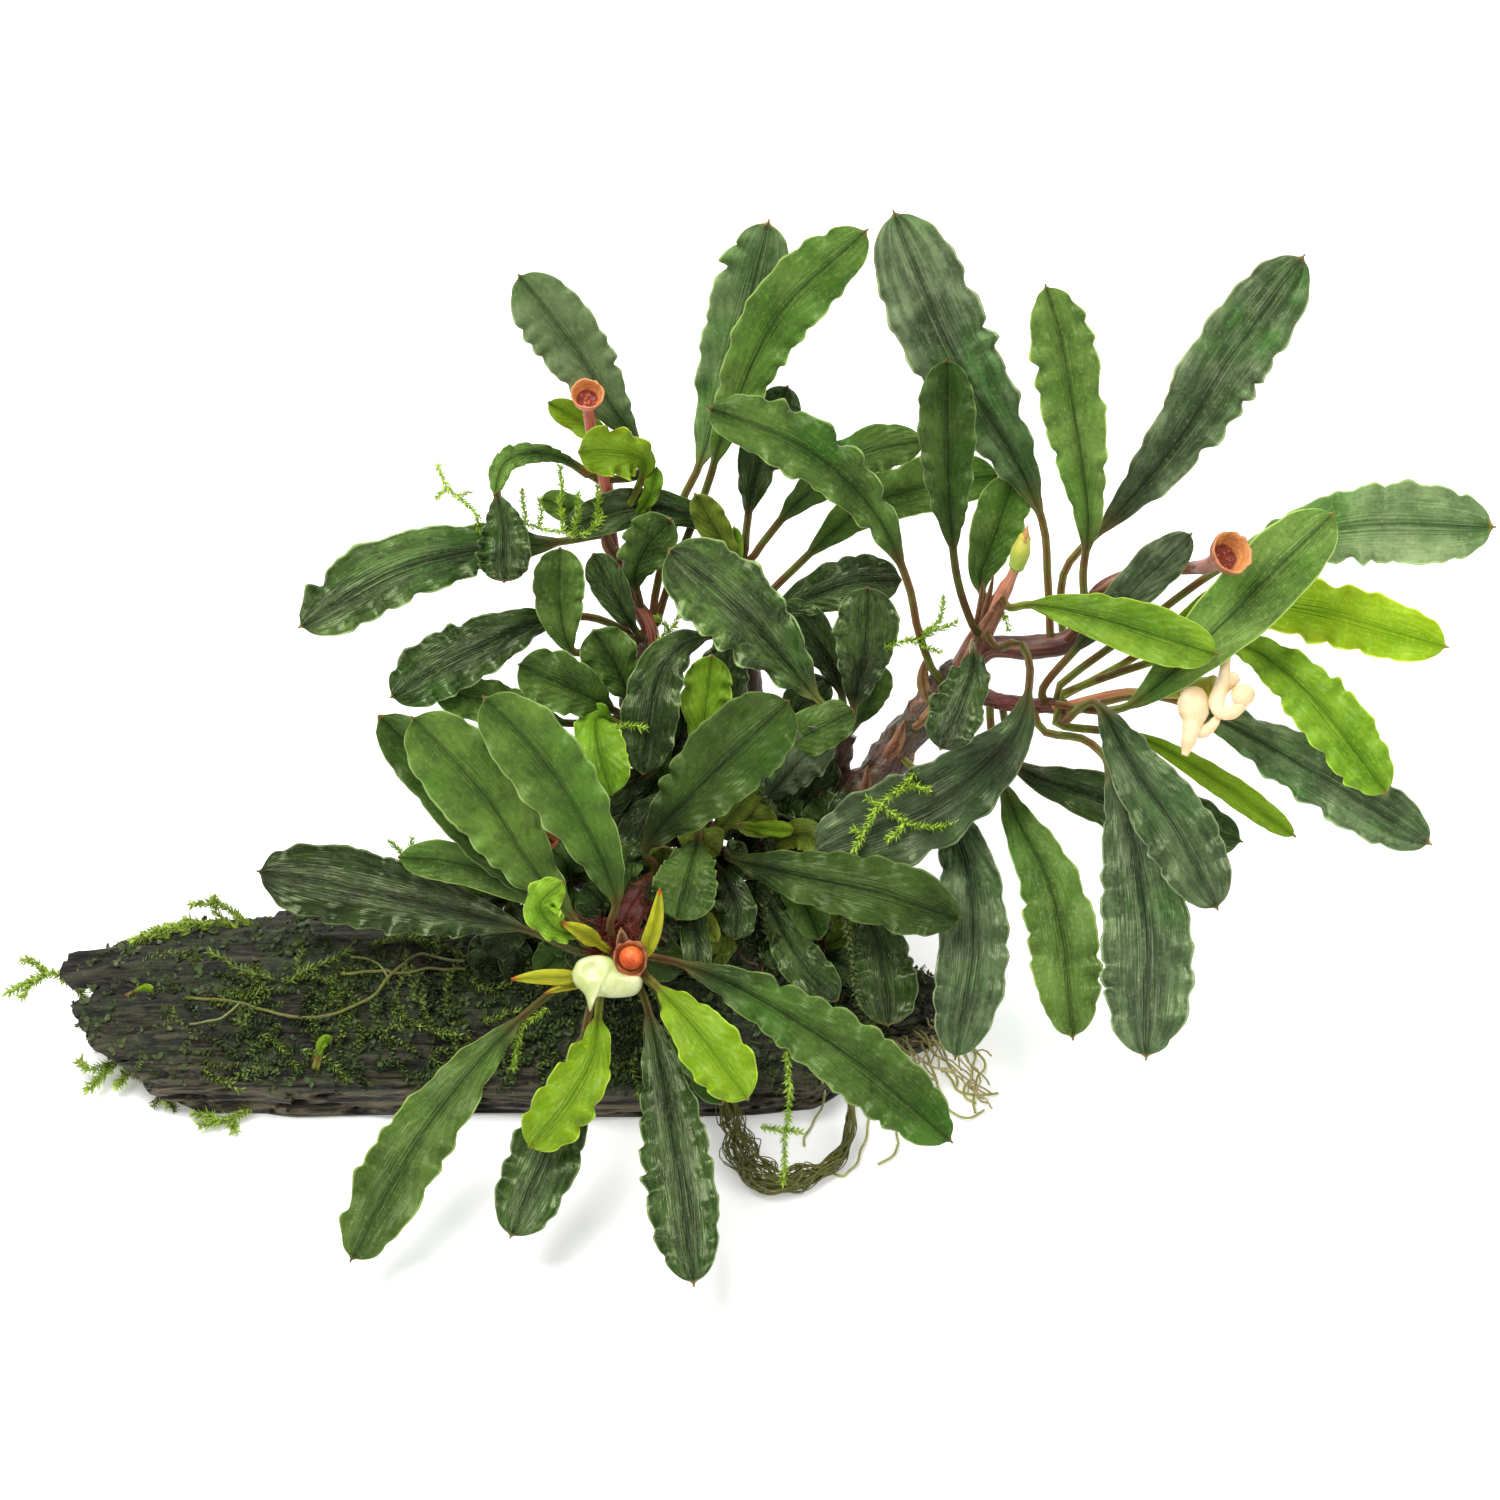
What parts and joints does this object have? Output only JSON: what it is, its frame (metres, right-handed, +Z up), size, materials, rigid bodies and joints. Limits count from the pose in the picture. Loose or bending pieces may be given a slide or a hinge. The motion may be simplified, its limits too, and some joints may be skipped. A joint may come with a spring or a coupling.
{
  "type": "bucephalandra on driftwood",
  "caption": "Creeping water plant with wavy oblong leaves, two spent flower cups and two open flowers, rooted on a long piece of mossy driftwood that lies flat.",
  "frame": {"origin": "middle of the driftwood's flat underside", "axes": "+Z up, +X to the right along the driftwood as seen from the front, +Y to the back"},
  "size_m": [0.2954, 0.1707, 0.1404],
  "materials": {
    "wood": "matte",
    "rhizome": "matte",
    "red_stem": "satin",
    "spadix_orange": "satin",
    "flower_cream": "satin",
    "root": "matte",
    "leaf_dark": "satin",
    "leaf_mid": "satin",
    "leaf_bright": "satin",
    "leaf_lime": "satin"
  },
  "bodies": {
    "root": {"driftwood": "wood", "rhizome_front": "rhizome", "rhizome_left": "rhizome", "rhizome_upper": "rhizome", "rhizome_right": "rhizome", "branch_right": "rhizome", "stem_with_cup_left": "red_stem", "stem_with_cup_right": "red_stem", "stem_with_bud": "red_stem", "spadix": "spadix_orange", "spathe": "flower_cream", "flower_right": "flower_cream", "root_loop": "root", "leaf_front_1": "leaf_mid", "leaf_front_2": "leaf_mid", "leaf_front_3": "leaf_dark", "leaf_front_4": "leaf_lime", "leaf_front_5": "leaf_dark", "leaf_front_6": "leaf_mid", "leaf_front_7": "leaf_dark", "leaf_front_8": "leaf_lime", "leaf_front_9": "leaf_dark", "leaf_centre_1": "leaf_mid", "leaf_centre_2": "leaf_mid", "leaf_centre_3": "leaf_mid", "leaf_centre_4": "leaf_bright", "leaf_centre_5": "leaf_dark", "leaf_left_1": "leaf_dark", "leaf_left_2": "leaf_dark", "leaf_left_3": "leaf_dark", "leaf_left_4": "leaf_bright", "leaf_left_5": "leaf_dark", "leaf_top_1": "leaf_mid", "leaf_top_2": "leaf_mid", "leaf_top_3": "leaf_mid", "leaf_top_4": "leaf_mid", "leaf_top_5": "leaf_dark", "leaf_top_6": "leaf_dark", "leaf_top_7": "leaf_bright", "leaf_right_top_1": "leaf_dark", "leaf_right_top_2": "leaf_dark", "leaf_right_top_3": "leaf_mid", "leaf_right_top_4": "leaf_dark", "leaf_right_top_5": "leaf_bright", "leaf_right_1": "leaf_dark", "leaf_right_2": "leaf_bright", "leaf_right_3": "leaf_mid", "leaf_right_4": "leaf_bright", "leaf_right_5": "leaf_bright", "leaf_right_6": "leaf_dark", "leaf_right_7": "leaf_dark", "leaf_right_8": "leaf_dark", "leaf_right_9": "leaf_mid", "leaf_right_10": "leaf_dark", "leaf_right_11": "leaf_dark", "leaf_right_12": "leaf_dark", "leaf_right_13": "leaf_lime", "leaf_right_14": "leaf_dark", "leaf_middle_1": "leaf_dark", "leaf_middle_2": "leaf_dark"}
  },
  "joints": []
}
